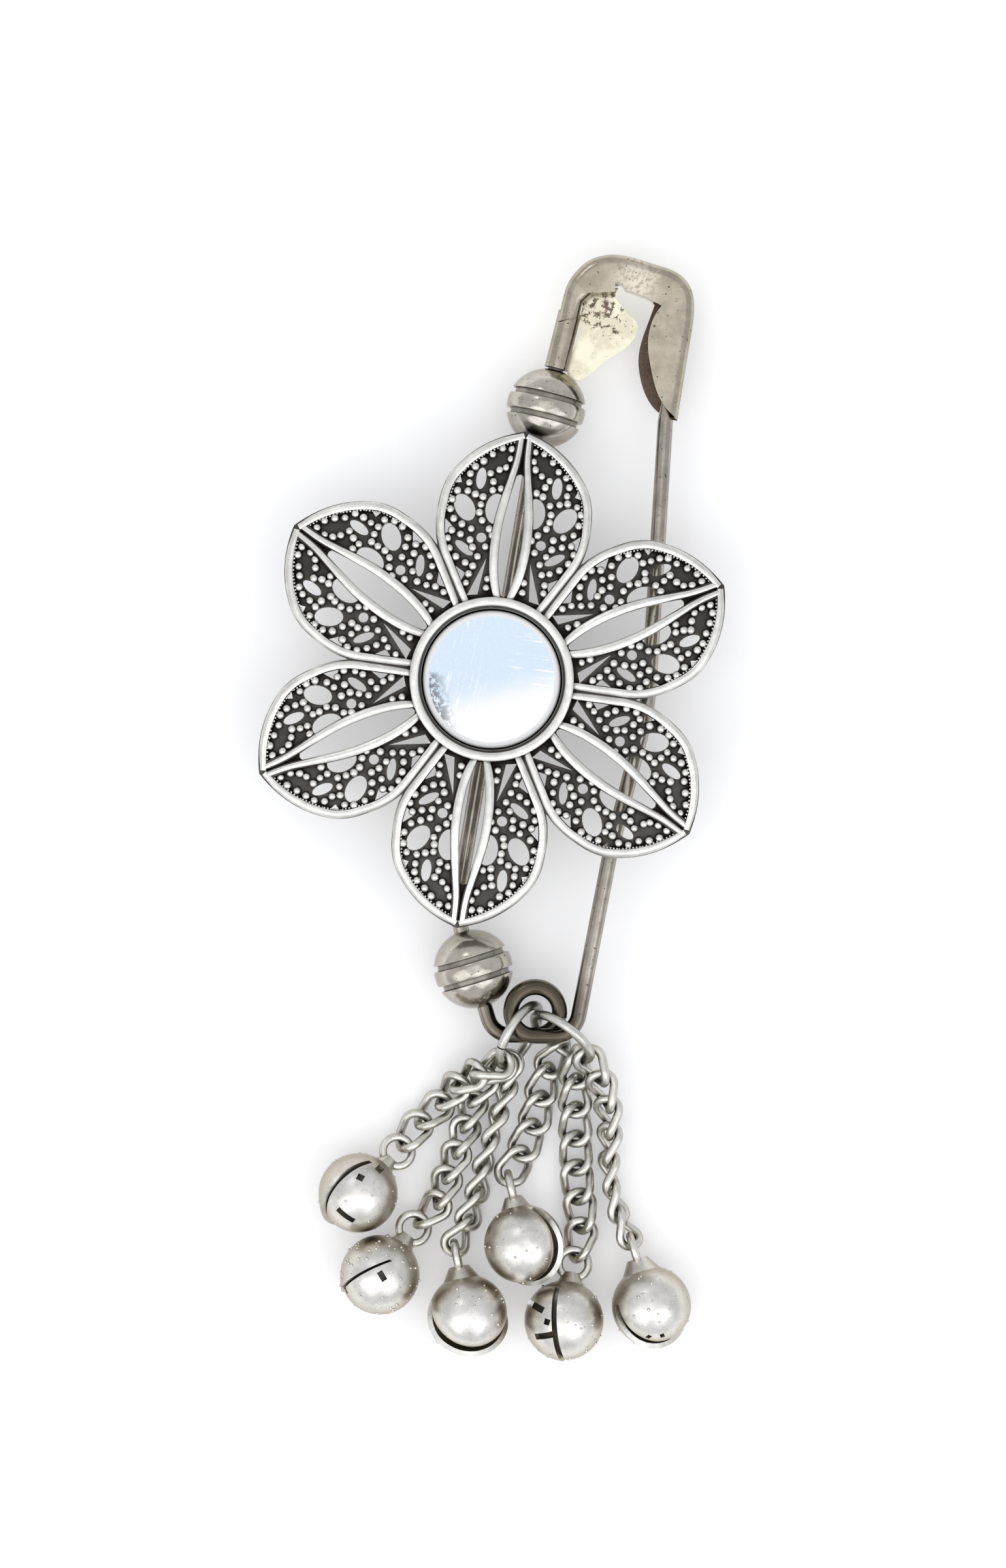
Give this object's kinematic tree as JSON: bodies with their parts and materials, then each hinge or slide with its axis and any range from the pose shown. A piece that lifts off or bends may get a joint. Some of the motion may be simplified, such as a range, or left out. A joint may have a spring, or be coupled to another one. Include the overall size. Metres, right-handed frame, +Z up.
{
  "type": "saree pin",
  "caption": "Large safety pin with a pierced silver-tone flower, round mirror, metal beads, and chains that end in small bells.",
  "frame": {"origin": "on the surface that the pin lies on, at the middle of its length and width", "axes": "+Y along the pin towards the cap, +X towards the side of the sprung leg, +Z up from the surface, through the face of the mirror"},
  "size_m": [0.0467, 0.1115, 0.0098],
  "materials": {
    "nickel": "worn satin nickel plate with small rust spots",
    "oxidised_silver": "cast and oxidised, with bright raised edges",
    "bell_silver": "cast and oxidised, dull, with fine casting specks",
    "mirror_glass": "lightly scratched mirror glass"
  },
  "bodies": {
    "pin": {"back_wire": "nickel", "cap": "nickel", "bead_top": "nickel", "bead_bottom": "nickel", "flower": "oxidised_silver", "mirror": "mirror_glass", "jump_ring_left": "nickel", "jump_ring_right": "nickel", "chain_1": "bell_silver", "chain_2": "bell_silver", "chain_3": "bell_silver", "chain_4": "bell_silver", "chain_5": "bell_silver", "chain_6": "bell_silver", "bell_1": "bell_silver", "bell_2": "bell_silver", "bell_3": "bell_silver", "bell_4": "bell_silver", "bell_5": "bell_silver", "bell_6": "bell_silver"},
    "leg": {"pin_leg": "nickel"}
  },
  "joints": [
    {"name": "leg_swing", "type": "hinge", "parent": "pin", "child": "leg", "pos_m": [0.00437, -0.02057, 0.0057], "axis": [0, 0, 1], "range_deg": [0, 6], "stiffness_Nm_per_rad": 0.05, "springref_deg": -17.19}
  ]
}
